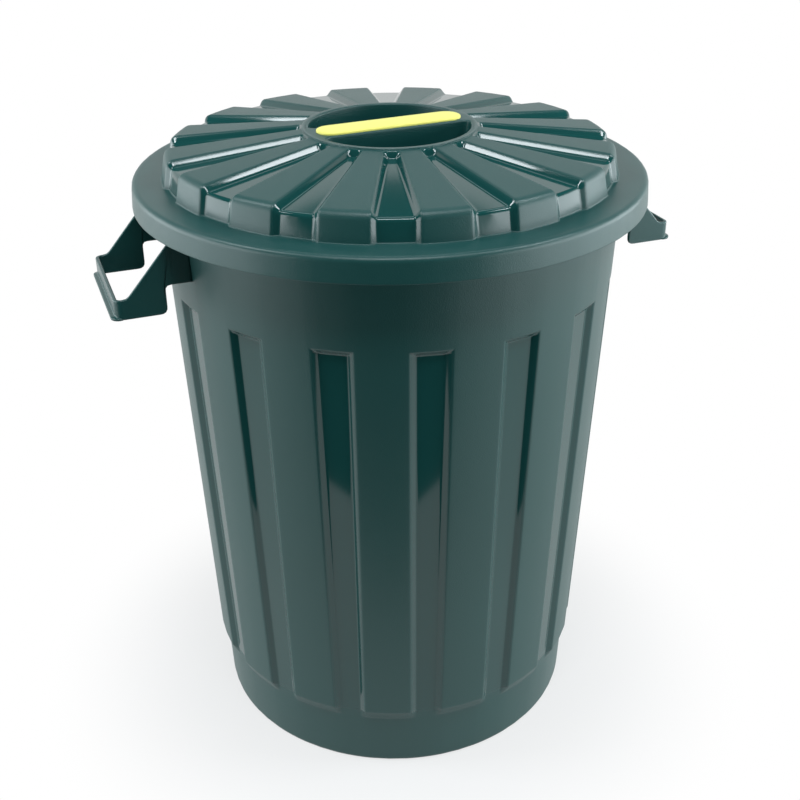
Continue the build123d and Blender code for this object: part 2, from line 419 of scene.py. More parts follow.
@dataclass(frozen=True)
class MouldedPolypropylene:
    """Injection-moulded polypropylene, self-coloured.

    The polished parts of the mould give it sharp reflections, and the parts that were etched give it a
    soft sheen with a very fine grain. A gloss attribute says which is which.

    Attributes:
        name: material name.
        colour: sRGB hex of the plastic itself.
        colour_shift: sRGB hex that the slow drift of the melt tends to.
        satin: roughness of the etched faces.
        polish: roughness of the polished faces.
        grain_size: grain of the etched faces in millimetres, coarser than the real one so that it shows.
        grain_strength: strength of the bump on the etched faces.
        grain_height: height of the grain's lumps, in millimetres.
        flow_size: size of the slow drift of the colour, in millimetres.
        wear_size: size of the rubbed areas, in millimetres.
        wear_share: how much the roughness rises and falls with them.
        ior: index of refraction.
    """

    name: str
    colour: str
    colour_shift: str
    satin: float = 0.42
    polish: float = 0.07
    grain_size: float = 1.1
    grain_strength: float = 0.40
    grain_height: float = 0.4
    flow_size: float = 120.0
    wear_size: float = 35.0
    wear_share: float = 0.04
    ior: float = 1.49

    def material(self) -> bpy.types.Material:
        """Build the material.

        Returns:
            A material that reads Object coordinates and the gloss attribute.
        """
        made = bpy.data.materials.new(self.name)
        tree = empty_tree(made)
        place = node(tree, "ShaderNodeTexCoord").outputs["Object"]
        gloss = node(tree, "ShaderNodeAttribute", attribute_name=GLOSS).outputs["Fac"]
        # Slow drift of the colour where the melt flowed, hardly seen
        flow = node(tree, "ShaderNodeTexNoise", {"Vector": place},
                    {"Scale": 1.0 / (self.flow_size * MM), "Detail": 2.0, "Roughness": 0.5})
        colour = node(tree, "ShaderNodeMix", {0: flow.outputs["Fac"]},
                      {6: linear(self.colour), 7: linear(self.colour_shift)}, data_type="RGBA")
        # Etched grain: tiny lumps, as coarse as the render needs to show them
        grain = node(tree, "ShaderNodeTexNoise", {"Vector": place},
                     {"Scale": 1.0 / (self.grain_size * MM), "Detail": 2.0, "Roughness": 0.6})
        strength = node(tree, "ShaderNodeMapRange", {"Value": gloss},
                        {"To Min": self.grain_strength, "To Max": 0.0})
        bump = node(tree, "ShaderNodeBump", {"Height": grain.outputs["Fac"], "Strength": strength.outputs[0]},
                    {"Distance": self.grain_height * MM})
        # Rubbed and drawn areas: the sheen is a little uneven
        wear = node(tree, "ShaderNodeTexNoise", {"Vector": place},
                    {"Scale": 1.0 / (self.wear_size * MM), "Detail": 4.0, "Roughness": 0.6})
        uneven = node(tree, "ShaderNodeMapRange", {"Value": wear.outputs["Fac"]},
                      {"To Min": 1.0 - self.wear_share, "To Max": 1.0 + self.wear_share})
        rough = node(tree, "ShaderNodeMapRange", {"Value": gloss},
                     {"To Min": self.satin, "To Max": self.polish})
        spread = node(tree, "ShaderNodeMath", {0: rough.outputs[0], 1: uneven.outputs[0]},
                      operation="MULTIPLY")
        surface = node(tree, "ShaderNodeBsdfPrincipled",
                       {"Base Color": colour.outputs[2], "Roughness": spread.outputs[0],
                        "Normal": bump.outputs["Normal"]},
                       {"IOR": self.ior})
        node(tree, "ShaderNodeOutputMaterial", {"Surface": surface.outputs[0]})
        return made


def dress(made: bpy.types.Object, material: bpy.types.Material, body: Body, slot: Slot,
          *nodes: str) -> bpy.types.Object:
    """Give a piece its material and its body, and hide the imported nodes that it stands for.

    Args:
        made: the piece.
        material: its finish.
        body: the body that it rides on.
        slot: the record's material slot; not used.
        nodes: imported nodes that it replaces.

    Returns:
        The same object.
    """
    made.data.materials.append(material)
    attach(made, body.value)
    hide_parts(*nodes)
    return made


# Pieces

@dataclass
class Tub:
    """Fluted tub with its rim and raised floor."""

    height: float = 594.0
    base_radius: float = 196.0
    mouth_radius: float = 226.4
    wall: float = 2.6
    floor_z: float = 12.2
    foot_height: float = 9.0
    foot_edge: float = 4.0
    foot_ring: float = 9.0
    flute_depth: float = 5.6
    flute_top_width: float = 39.0
    flute_foot_width: float = 33.0
    flank: float = 6.3
    end_slope: float = 5.8
    floor_step: float = 0.25
    flute_top_z: float = 499.0
    foot_band_z: float = 62.0
    rib_foot_slope: float = 12.0
    rim_radius: float = 243.0
    rim_thickness: float = 2.6
    lip_z: float = 582.0
    lip_wall: float = 2.4
    floor_join: float = 60.0
    edge_soft: float = 0.17
    corner_soft: float = 0.14
    sectors: Sectors = field(default_factory=lambda: Sectors(16, 11.25, (
        -0.7, -0.32, -0.17, -0.085, 0.0, 0.085, 0.17, 0.32, 0.72, 0.86, 0.93, 1.0, 1.07, 1.14, 1.3)))

    def face_radius(self, z: Array) -> Array:
        """Radius of the rib faces at height z."""
        taper = (self.mouth_radius - self.base_radius - self.flute_depth) / self.height
        return self.base_radius + self.flute_depth + taper * z

    def wall_levels(self) -> Array:
        """Heights of the wall's rows, close together at the ends of ribs and flutes.

        Returns:
            Heights from the foot to the rim.
        """
        low, full = self.foot_band_z, self.foot_band_z + self.rib_foot_slope
        end, top = self.flute_top_z - self.end_slope, self.flute_top_z
        near = np.array([-3.2, -2.0, -1.4, -0.7, 0.0, 0.7, 1.4, 2.0, 3.2])
        flat = np.array([20.0, 54.0, 85.0, 150.0, 250.0, 350.0, 440.0, 482.0, 508.0, 550.0])
        levels = np.concatenate([flat, low + near, full + near, [68.0], end + near, top + near])
        return np.unique(np.round(levels, 3))

    def recess(self, ramp: Array, half_mouth: Array, z: Array) -> tuple[Array, Array]:
        """How deep the wall stands back from the rib faces.

        A flute is the smaller of a ramp across its side and a ramp down its top end, clamped to its depth.
        Its floor is flat, so its depth lessens by s^2 / 2r at the distance s from the flute's middle.
        The foot is a ramp clamped the same way, and the two are joined as 1 - (1 - flute)(1 - foot).

        Args:
            ramp: ramp values across the flutes.
            half_mouth: half width of the flutes' mouths in each row.
            z: heights.

        Returns:
            Depth in millimetres and the gloss share, which follows the flute.
        """
        end = (self.flute_top_z - z) / self.end_slope
        flute = soft_clamp(soft_min(ramp, end, self.corner_soft), self.edge_soft, self.corner_soft)
        foot = soft_clamp((self.foot_band_z + self.rib_foot_slope - z) / self.rib_foot_slope,
                          self.edge_soft, self.corner_soft)
        away = np.minimum(np.abs(half_mouth - ramp * self.flank), half_mouth)
        share = 1.0 - (self.floor_step + away ** 2 / (2 * self.face_radius(z))) / self.flute_depth
        depth = 1.0 - (1.0 - share * flute) * (1.0 - foot)
        gloss = np.clip(flute * 3.0, 0.0, 1.0) * np.clip(1.0 - 4.0 * foot, 0.0, 1.0)
        return depth * self.flute_depth, gloss

    def wall_rows(self, levels: Array, inset: float) -> tuple[Array, Array]:
        """Rows of the wall's outside, or of its inside with the wall's thickness as inset.

        Args:
            levels: heights of the rows.
            inset: distance inwards from the outside.

        Returns:
            Points and gloss.
        """
        share = np.clip((levels - self.foot_band_z) / (self.flute_top_z - self.foot_band_z), 0.0, 1.0)
        width = self.flute_foot_width + (self.flute_top_width - self.flute_foot_width) * share
        face = self.face_radius(levels)
        angle, ramp = self.sectors.columns(width / 2, np.full_like(width, self.flank), face)
        z = levels[:, None]
        depth, gloss = self.recess(ramp, width[:, None] / 2, z)
        return polar(face[:, None] - depth - inset, angle, z), gloss

    def ring_rows(self, line: Array, angles: Array) -> Array:
        """Rows of a turned part: the line's (radius, height) points carried round the axis."""
        return polar(line[:, :1], angles[None], line[:, 1:])

    def build(self) -> bpy.types.Object:
        """Make the tub's mesh.

        One closed profile runs from the middle under the floor over the foot ring, up the outside, round
        the rim, down the inside and back to the middle of the floor.

        Returns:
            The object.
        """
        levels = self.wall_levels()
        outside, gloss = self.wall_rows(levels, 0.0)
        inner_levels = levels[::-1]
        inside, inner_gloss = self.wall_rows(inner_levels, self.wall)
        low = np.arctan2(outside[0, :, 1], outside[0, :, 0])
        high = np.arctan2(outside[-1, :, 1], outside[-1, :, 0])
        foot_r = float(self.face_radius(0.0)) - self.flute_depth
        recess_r = foot_r - self.foot_ring + 0.4
        under_z = self.height - self.rim_thickness
        lip_in = self.rim_radius - self.lip_wall
        wall_r = float(self.face_radius(self.height))
        under = eased_line([(self.floor_join, self.foot_height), (recess_r, self.foot_height),
                            (recess_r, 0.0), (foot_r, 0.0), (foot_r + 0.6, 14.0)],
                           [0, 3.5, 1.0, self.foot_edge, 0])
        rim = eased_line([(wall_r - 0.3, under_z - 8.0), (wall_r, under_z), (lip_in, under_z),
                          (lip_in, self.lip_z), (self.rim_radius, self.lip_z),
                          (self.rim_radius, self.height), (wall_r - self.wall, self.height),
                          (wall_r - self.wall - 0.4, self.height - 9.0)],
                         [0, 1.0, 0.8, 0.8, 0.8, 2.0, 1.2, 0])
        bottom_in = foot_r - self.wall
        floor = eased_line([(bottom_in + 0.5, self.floor_z + 5.0), (bottom_in, self.floor_z),
                            (self.floor_join, self.floor_z)], [0, 2.0, 0])
        rows = [self.ring_rows(under, low), outside, self.ring_rows(rim, high), inside,
                self.ring_rows(floor, low)]
        shares = [np.zeros(rows[0].shape[:2]), gloss, np.zeros(rows[2].shape[:2]), inner_gloss * 0.5,
                  np.zeros(rows[4].shape[:2])]
        patch = Patch(np.concatenate(rows), np.concatenate(shares),
                      start_pole=(0.0, 0.0, self.foot_height), end_pole=(0.0, 0.0, self.floor_z))
        return piece("tub", [patch])

    def dress(self, material: bpy.types.Material) -> bpy.types.Object:
        """Build the tub and finish it."""
        return dress(self.build(), material, Body.TUB, Slot.GREEN, "bin_body")


@dataclass
class Lid:
    """Ribbed cap with flange, skirt, locating ring, and the two-pocket well with its ridge."""

    turn: float
    wall: float = 2.5
    flange_z: float = 596.8
    skirt_bottom_z: float = 573.8
    skirt_radius: float = 249.7
    skirt_flare: float = 1.6
    dome_radius: float = 221.6
    dome_lean: float = 5.0
    dome_wall_height: float = 26.0
    crown_rise: float = 13.5
    ring_outer: float = 85.0
    ring_height: float = 1.3
    locating_depth: float = 12.0
    groove_depth: float = 6.2
    groove_inset: float = 4.0
    groove_half_outer: float = 21.4
    groove_half_inner: float = 7.75
    groove_flank_outer: float = 5.4
    groove_flank_inner: float = 4.7
    groove_start: float = 87.0
    groove_end_run: float = 3.5
    groove_ring_gap: float = 1.2
    crown_marks: tuple[float, ...] = (110.0, 150.0, 190.0)
    rib_edge_reach: float = 6.5
    groove_edge_reach: float = 3.2
    flange_join: float = 4.0
    well_radius: float = 79.0
    well_depth: float = 48.0
    well_draft: float = 5.0
    ridge_half: float = 18.0
    ridge_draft: float = 2.5
    pocket_corner: float = 6.0
    floor_fillet: float = 3.0
    top_fillet: float = 1.3
    edge_soft: float = 0.25
    corner_soft: float = 0.22
    ridge_points: int = 41
    sectors: Sectors = field(default_factory=lambda: Sectors(16, 0.0, (
        -1.1, -0.6, -0.3, -0.15, 0.0, 0.15, 0.3, 0.5, 0.7, 0.85, 1.0, 1.15, 1.3, 1.6)))

    @property
    def edge_z(self) -> float:
        """Height of the dome's edge before rounding."""
        return self.flange_z + self.dome_wall_height

    @property
    def edge_radius(self) -> float:
        """Radius of the dome's edge before rounding."""
        return self.dome_radius - self.dome_lean

    @property
    def ring_z(self) -> float:
        """Height of the ring round the well."""
        return self.edge_z + self.crown_rise + self.ring_height

    def crown(self, radius: float) -> float:
        """Height of the rib tops at a radius."""
        share = (self.edge_radius - radius) / (self.edge_radius - self.ring_outer)
        return self.edge_z + self.crown_rise * share

    def groove_angles(self, radius: Array) -> tuple[Array, Array]:
        """Angles and ramp values of the columns at each row's radius.

        Args:
            radius: radius of the rows.

        Returns:
            Angles and ramps, rows x columns.
        """
        inner, outer = self.groove_start, self.dome_radius - self.groove_inset
        share = np.clip((radius - inner) / (outer - inner), 0.0, 1.0)
        half = self.groove_half_inner + (self.groove_half_outer - self.groove_half_inner) * share
        flank = self.groove_flank_inner + (self.groove_flank_outer - self.groove_flank_inner) * share
        return self.sectors.columns(half, flank, np.clip(radius, inner, outer + self.groove_inset))

    def dome_lines(self, sink: float) -> tuple[Array, Array]:
        """Lines of (radius, height) over a rib and along a groove's floor, from the ring to the flange.

        Args:
            sink: distance inwards, 0 for the outside and the wall for the underside.

        Returns:
            Two lines with the same number of points.
        """
        start = self.groove_start
        first = start + self.groove_end_run
        lean = self.dome_lean / self.dome_wall_height
        floor_edge_z = self.crown(self.edge_radius - self.groove_inset) - self.groove_depth
        floor_edge_r = self.dome_radius - self.groove_inset - lean * (floor_edge_z - self.flange_z)
        foot_z = self.flange_z - sink
        begin = [(start - self.groove_ring_gap, self.crown(start) - sink), (start, self.crown(start) - sink)]
        radii = (first, *self.crown_marks)
        end = (self.dome_radius + self.flange_join - sink, foot_z)
        rib = [*begin, *((r, self.crown(r) - sink) for r in radii),
               (self.edge_radius - sink, self.edge_z - sink), (self.dome_radius - sink, foot_z), end]
        groove = [*begin, *((r, self.crown(r) - self.groove_depth - sink) for r in radii),
                  (floor_edge_r - sink, floor_edge_z - sink),
                  (self.dome_radius - self.groove_inset - sink, foot_z), end]
        lines = []
        for corners, edge_reach in ((rib, self.rib_edge_reach), (groove, self.groove_edge_reach)):
            reaches = [0, 0.7, 1.2, 0, 0, 0, edge_reach, 1.2, 0]
            lines.append(eased_line(corners, reaches, steps=5, support=0.4))
        return lines[0], lines[1]

    def dome_rows(self, sink: float) -> tuple[Array, Array]:
        """Rows of the dome: the rib line and the groove line mixed by the clamped ramp.

        Args:
            sink: distance inwards.

        Returns:
            Points and gloss.
        """
        rib, groove = self.dome_lines(sink)
        angle, ramp = self.groove_angles(rib[:, 0])
        share = soft_clamp(ramp, self.edge_soft, self.corner_soft)[..., None]
        line = rib[:, None] * (1 - share) + groove[:, None] * share
        gloss = np.clip(share[..., 0] * 2.5, 0.0, 1.0)
        above_foot = np.clip((line[..., 1] - self.flange_z + sink - 0.8) / 2.0, 0.0, 1.0)
        gloss = 0.1 + (gloss - 0.1) * above_foot
        return polar(line[..., 0], angle, line[..., 1]), gloss

    def pocket_line(self, arc: float, near: float, corner: float) -> tuple[Array, Array]:
        """Outline of the pocket on the +Y side: a half circle's arc and a chord with rounded corners.

        A corner circle touches the arc from inside and the chord from above, so its middle stands at
        (sqrt((arc-corner)^2 - (near+corner)^2), near+corner).

        Args:
            arc: radius of the arc.
            near: distance of the chord from the axis.
            corner: radius of the corners.

        Returns:
            The arc's line from the right corner to the left one, and the chord's line back.
        """
        y = near + corner
        x = math.sqrt((arc - corner) ** 2 - y ** 2)
        touch = math.atan2(y, x)
        middle = (touch - math.pi / 2) / 2
        upper = np.linspace(middle, touch, 14)
        lower = np.linspace(-math.pi / 2, middle, 14)
        corner_up = np.stack([x + corner * np.cos(upper), y + corner * np.sin(upper)], axis=1)
        corner_low = np.stack([x + corner * np.cos(lower), y + corner * np.sin(lower)], axis=1)
        sweep = np.linspace(touch, math.pi - touch, 160)
        big = np.stack([arc * np.cos(sweep), arc * np.sin(sweep)], axis=1)
        mirror = np.array([-1.0, 1.0])
        arc_line = np.vstack([corner_up[:-1], big, (corner_up * mirror)[::-1][1:]])
        chord = np.vstack([(corner_low * mirror)[::-1], corner_low])
        return arc_line, chord

    def pocket_patch(self, side: int, angles: Array, radius: float, top_z: float, grow: float) -> Patch:
        """One pocket with its half of the ridge's top.

        The first row is the half circle of the ring and the line along the ridge's middle. The next rows
        are the pocket's rounded D outline, smaller and lower row by row, down to the floor's middle.

        Args:
            side: +1 or -1 along Y.
            angles: column angles of the ring from 0 to pi.
            radius: radius of the ring where the pocket joins it.
            top_z: height of the ring there.
            grow: wall's thickness for the underside, 0 for the outside.

        Returns:
            A closed patch with a pole on the floor.
        """
        arc_share = angles / math.pi
        line_share = np.linspace(0.0, 1.0, self.ridge_points)
        floor_z = self.ring_z - self.well_depth - grow
        fillet = self.floor_fillet + grow
        top = max(self.top_fillet - grow, 0.3)
        drop = np.concatenate([[0.0, 0.0, 0.12 * top, 0.45 * top, top, 1.6 * top],
                               np.linspace(4.0, top_z - floor_z - fillet, 6)])
        out = np.concatenate([[2.2 * top, top, 0.5 * top, 0.14 * top, 0.0, 0.0], np.zeros(6)])
        turn = np.linspace(0.0, math.pi / 2, 6)[1:]
        drop = np.concatenate([drop, top_z - floor_z - fillet * (1 - np.sin(turn))])
        out = np.concatenate([out, -fillet * (1 - np.cos(turn))])
        drop = np.concatenate([drop, np.full(3, top_z - floor_z)])
        out = np.concatenate([out, [-fillet - 1.0, -12.0, -22.0]])
        rows = [np.vstack([np.stack([radius * np.cos(angles), radius * np.sin(angles)], axis=1),
                           np.stack([radius * (2 * line_share[1:-1] - 1), 0 * line_share[1:-1]], axis=1)])]
        for d, o in zip(drop, out):
            lean = d / self.well_depth
            arc = self.well_radius + grow - self.well_draft * lean + o
            near = self.ridge_half - grow + self.ridge_draft * lean - o
            corner = max(self.pocket_corner + grow + min(o, 0.0), 1.0)
            arc_line, chord = self.pocket_line(arc, near, corner)
            rows.append(np.vstack([along(arc_line, arc_share), along(chord, line_share)[1:-1]]))
        flat = np.stack(rows)
        heights = top_z - np.concatenate([[0.0], drop])
        flat[..., 1] *= side
        points = np.concatenate([flat, np.broadcast_to(heights[:, None, None], flat.shape[:2] + (1,))],
                                axis=-1)
        gloss = np.broadcast_to(np.clip((heights[0] - heights) / 6.0, 0.0, 1.0)[:, None] * 0.6,
                                flat.shape[:2])
        middle_y = side * 0.55 * self.well_radius
        return Patch(points, np.array(gloss), end_pole=(0.0, middle_y, heights[-1]))

    def build(self) -> bpy.types.Object:
        """Make the lid's mesh: the outside, the underside and four pocket patches, merged at their edges.

        Returns:
            The object.
        """
        dome, dome_gloss = self.dome_rows(0.0)
        under, under_gloss = self.dome_rows(self.wall)
        inner = np.arctan2(dome[0, :, 1], dome[0, :, 0])
        start = int(np.argmin(np.abs(inner)))
        outer = self.groove_angles(np.array([self.dome_radius]))[0][0]
        inner = self.groove_angles(np.array([self.groove_start]))[0][0]
        ring_in = self.well_radius + 3.2
        ring = eased_line([(ring_in, self.ring_z), (self.ring_outer, self.ring_z),
                           (self.ring_outer, self.crown(self.ring_outer)),
                           (self.groove_start - self.groove_ring_gap, self.crown(self.groove_start))],
                          [0, 0.75, 0.35, 0], steps=4, support=0.3)[:-1]
        bottom = self.skirt_radius + self.skirt_flare
        inside = self.wall
        skirt = eased_line([(self.dome_radius + self.flange_join, self.flange_z),
                            (self.skirt_radius, self.flange_z),
                            (bottom, self.skirt_bottom_z), (bottom - inside, self.skirt_bottom_z),
                            (self.skirt_radius - inside, self.flange_z - inside),
                            (self.dome_radius, self.flange_z - inside),
                            (self.dome_radius, self.flange_z - inside - self.locating_depth),
                            (self.dome_radius - inside, self.flange_z - inside - self.locating_depth),
                            (self.dome_radius - inside, self.flange_z - inside)],
                           [0, 5.0, 0.9, 0.9, 2.5, 0.5, 0.8, 0.8, 0], steps=6, support=0.8)[1:]
        under_top = self.crown(self.ring_outer) - self.wall
        ring_under_r = self.ring_outer + 0.6
        columns = len(inner)
        rows = [polar(ring[:, :1], inner[None], ring[:, 1:]), dome,
                polar(skirt[:, :1], outer[None], skirt[:, 1:]), under[::-1][2:],
                polar(np.array([[ring_under_r]]), inner[None], np.array([[under_top]]))]
        shares = [np.full((len(ring), columns), 0.3), dome_gloss, np.full((len(skirt), columns), 0.1),
                  under_gloss[::-1][2:], np.zeros((1, columns))]
        shell = Patch(np.concatenate(rows), np.concatenate(shares))
        half = columns // 2
        order = np.roll(np.mod(inner, 2 * math.pi), -start)
        angles = np.append(order[:half], math.pi)
        angles[0] = 0.0
        patches = [shell]
        for side in (1, -1):
            patches.append(self.pocket_patch(side, angles, ring_in, self.ring_z, 0.0))
            patches.append(self.pocket_patch(side, angles, ring_under_r, under_top, self.wall))
        return piece("lid", patches, self.turn)

    def dress(self, material: bpy.types.Material) -> bpy.types.Object:
        """Build the lid and finish it."""
        return dress(self.build(), material, Body.LID, Slot.GREEN, "lid")


@dataclass
class GripStrip:
    """Yellow strip on the ridge: a straight bar with round ends, a rounded top edge and a low crown.

    Its underside stands a little inside the ridge's top, so that no gap shows along its edge.
    """

    turn: float
    length: float = 150.0
    width: float = 30.0
    bottom_z: float = 636.1
    top_z: float = 640.1
    edge: float = 1.4
    crown: float = 0.25

    def outline(self, inset: float) -> Array:
        """Outline of the bar: a half circle at each end and a straight run on each side.

        Args:
            inset: distance that the outline stands inwards.

        Returns:
            Points of the closed outline, one per row.
        """
        radius = self.width / 2 - inset
        centre = (self.length - self.width) / 2
        turn = np.linspace(-math.pi / 2, math.pi / 2, 25)
        run = np.linspace(centre, -centre, 12)[1:-1]
        end = np.stack([centre + radius * np.cos(turn), radius * np.sin(turn)], axis=1)
        top = np.stack([run, np.full_like(run, radius)], axis=1)
        return np.vstack([end, top, -end, -top])

    def build(self) -> bpy.types.Object:
        """Make the strip's mesh: outlines stacked from the middle of the underside to the middle on top.

        Returns:
            The object.
        """
        top = self.top_z
        shoulder = top - self.crown
        turn = np.linspace(0.0, math.pi / 2, 6)
        inset = np.concatenate([[self.width / 2 - 0.01, 4.0, 0.6, 0.0, 0.0],
                                self.edge * (1 - np.cos(turn)), [2.4, 6.0, 10.0, self.width / 2 - 0.01]])
        height = np.concatenate([[self.bottom_z, self.bottom_z, self.bottom_z, self.bottom_z + 0.4,
                                  shoulder - self.edge - 0.6],
                                 shoulder - self.edge * (1 - np.sin(turn)),
                                 [shoulder + 0.05, top - 0.09, top - 0.02, top]])
        flat = np.stack([self.outline(float(i)) for i in inset])
        points = np.concatenate([flat, np.broadcast_to(height[:, None, None], flat.shape[:2] + (1,))],
                                axis=-1)
        points[0, :, 1] = 0.0
        points[-1, :, 1] = 0.0
        half = (self.length - self.width) / 2
        points[0, :, 0] = np.clip(points[0, :, 0], -half, half)
        points[-1, :, 0] = np.clip(points[-1, :, 0], -half, half)
        return piece("grip_strip", [Patch(points, np.full(points.shape[:2], 0.4))], self.turn)

    def dress(self, material: bpy.types.Material) -> bpy.types.Object:
        """Build the strip and finish it."""
        return dress(self.build(), material, Body.LID, Slot.YELLOW, "grip_strip")


@dataclass
class Handle:
    """Side handle: one plate that runs out from the tub, across as the grip, and back."""

    name: str
    turn: float
    half_width: float = 62.0
    plate: float = 3.5
    corner: float = 7.0
    reach: float = 287.4
    grip_bottom: float = 502.0
    grip_top: float = 521.2
    lip: float = 4.0
    shoulder_z: float = 529.6
    hanging_reach: float = 240.0
    cheek_top_z: float = 591.3
    slope_top_z: float = 573.0
    cheek_top_reach: float = 231.0
    toe_reach: float = 275.5
    wall_low: float = 214.6
    wall_high: float = 217.3

    def plan(self, u: Array, offset: Array) -> tuple[Array, Array]:
        """Place of a point of the plate seen from above.

        The path is a straight grip, two quarter circles and two straight cheeks. u is the length along it
        from the grip's middle, and offset the distance outwards from the plate's middle.

        Args:
            u: length along the plate.
            offset: distance outwards.

        Returns:
            X and Y.
        """
        bend = self.corner - self.plate / 2
        straight = self.half_width - self.corner
        quarter = bend * math.pi / 2
        side = np.where(u < 0, -1.0, 1.0)
        past = np.abs(u) - straight
        psi = np.clip(past / quarter, 0.0, 1.0) * math.pi / 2
        cheek = np.maximum(past - quarter, 0.0)
        centre_x = self.reach - self.corner
        x = centre_x + (bend + offset) * np.cos(psi) - cheek
        y = np.where(past < 0, np.abs(u), straight + (bend + offset) * np.sin(psi))
        return x, y * side

    def from_reach(self, x: float) -> float:
        """Length along the plate to the place on a cheek that stands at x."""
        return self.half_width - self.corner + (self.corner - self.plate / 2) * math.pi / 2 + (
            self.reach - self.corner - x)

    def edges(self) -> tuple[Array, Array]:
        """Lower and upper edge of the unrolled plate on the +Y half, as (u, z) points.

        Returns:
            Two lines with the same number of points.
        """
        bend_start = self.half_width - self.corner
        common = np.concatenate([[0.0, 18.0, 36.0, 48.0, 53.5],
                                 np.linspace(bend_start, self.from_reach(self.reach - self.corner), 9)])
        begin = float(common[-1]) + 0.9
        low = eased_line([(begin, self.grip_bottom), (self.from_reach(265.0), self.grip_bottom),
                          (self.from_reach(self.hanging_reach), self.grip_bottom),
                          (self.from_reach(self.hanging_reach), self.shoulder_z),
                          (self.from_reach(self.wall_low), self.shoulder_z)],
                         [0, 2.0, 6.5, 4.5, 0], steps=7, support=0.5)
        high = eased_line([(begin, self.grip_top), (self.from_reach(self.toe_reach), self.grip_top),
                           (self.from_reach(self.cheek_top_reach), self.slope_top_z),
                           (self.from_reach(self.cheek_top_reach), self.cheek_top_z),
                           (self.from_reach(self.wall_high), self.cheek_top_z)],
                          [0, 3.6, 3.2, 2.4, 0], steps=7, support=0.5)
        shares = np.linspace(0.0, 1.0, min(len(low), len(high)))
        low, high = along(low, shares), along(high, shares)
        head_low = np.stack([common, np.full_like(common, self.grip_bottom)], axis=1)
        head_high = np.stack([common, np.full_like(common, self.grip_top)], axis=1)
        return np.vstack([head_low, low]), np.vstack([head_high, high])

    def inward(self, line: Array, side: float) -> Array:
        """Directions at right angles to an edge line, into the plate.

        The direction of the line at a point is the sum of the unit steps before and after it.

        Args:
            line: points of the edge.
            side: 1 for the lower edge, -1 for the upper one.

        Returns:
            One unit vector per point.
        """
        step = np.diff(line, axis=0)
        step = step / np.linalg.norm(step, axis=1, keepdims=True)
        way = np.vstack([step[:1], step[:-1] + step[1:], step[-1:]])
        way = way / np.linalg.norm(way, axis=1, keepdims=True)
        return side * np.stack([-way[:, 1], way[:, 0]], axis=1)

    def build(self) -> bpy.types.Object:
        """Make the handle's mesh: a rounded section with its lip carried along the plate.

        Each section point has an offset outwards, a height above the lower edge or below the upper edge,
        and a share of the lip, which fades with the cosine of the turn round the corner.

        Returns:
            The object.
        """
        low, high = self.edges()
        inward_low, inward_high = self.inward(low, 1.0), self.inward(high, -1.0)
        inward_low[0], inward_high[0] = (0.0, 1.0), (0.0, -1.0)
        low, high, inward_low, inward_high = (
            np.vstack([half[::-1] * (-1, 1), half[1:]]) for half in (low, high, inward_low, inward_high))
        h = self.plate / 2
        # Columns: offset, share of the lip, height above the lower or below the upper edge, 1 for upper
        section = np.array([
            (-h, 0, 1.0, 0), (-h + 0.3, 0, 0.3, 0), (-h + 1.0, 0, 0.0, 0), (h - 1.0, 1, 0.0, 0),
            (h - 0.3, 1, 0.3, 0), (h, 1, 1.0, 0), (h, 1, 2.0, 0), (h - 0.2, 1, 2.6, 0), (h, 0.7, 2.9, 0),
            (h, 0.3, 3.1, 0), (h, 0.08, 3.5, 0), (h, 0, 4.3, 0), (h, 0, 5.5, 0),
            (h, 0, 1.8, 1), (h, 0, 1.0, 1), (h - 0.3, 0, 0.3, 1), (h - 1.0, 0, 0.0, 1),
            (-h + 1.0, 0, 0.0, 1), (-h + 0.3, 0, 0.3, 1), (-h, 0, 1.0, 1), (-h, 0, 1.8, 1),
            (-h, 0, 1.8, 0)])
        bend = self.corner - self.plate / 2
        turned = np.clip((np.abs(low[:, :1]) - (self.half_width - self.corner)) / (bend * math.pi / 2), 0, 1)
        lip = self.lip * np.cos(turned * math.pi / 2)
        upper = section[None, :, 3:4]
        start = low[:, None] * (1 - upper) + high[:, None] * upper
        inward = inward_low[:, None] * (1 - upper) + inward_high[:, None] * upper
        height = section[None, :, 2]
        near = np.minimum(height, 1.0) + np.maximum(height - 1.0, 0.0) * (0.2 + 0.8 * lip / self.lip)
        at = start + inward * near[..., None]
        offset = section[None, :, 0] + lip * section[None, :, 1]
        x, y = self.plan(at[..., 0], offset)
        points = np.stack([x, y, at[..., 1]], axis=-1)
        gloss = np.full(points.shape[:2], 0.3)
        ends = [tuple(points[0].mean(axis=0)), tuple(points[-1].mean(axis=0))]
        return piece(self.name, [Patch(points, gloss, start_pole=ends[0], end_pole=ends[1])], self.turn)

    def dress(self, material: bpy.types.Material) -> bpy.types.Object:
        """Build the handle and finish it."""
        return dress(self.build(), material, Body.TUB, Slot.GREEN, self.name)


# Studio

@dataclass(frozen=True)
class SoftBox:
    """Rectangular lamp that faces the bin.

    Attributes:
        name: light's name.
        azimuth: direction from the bin, in degrees from the camera's side.
        height: height above the horizon, in degrees.
        distance: metres from the bin's middle.
        width: metres across.
        tall: metres high.
        radiance: brightness of its face, 1 being white.
    """

    name: str
    azimuth: float
    height: float
    distance: float
    width: float
    tall: float
    radiance: float


@dataclass(frozen=True)
class DarkDome:
    """Dark card curved round the bin: part of a ball between azimuths and heights, in degrees."""

    name: str
    azimuths: tuple[float, float]
    heights: tuple[float, float]
    radius: float


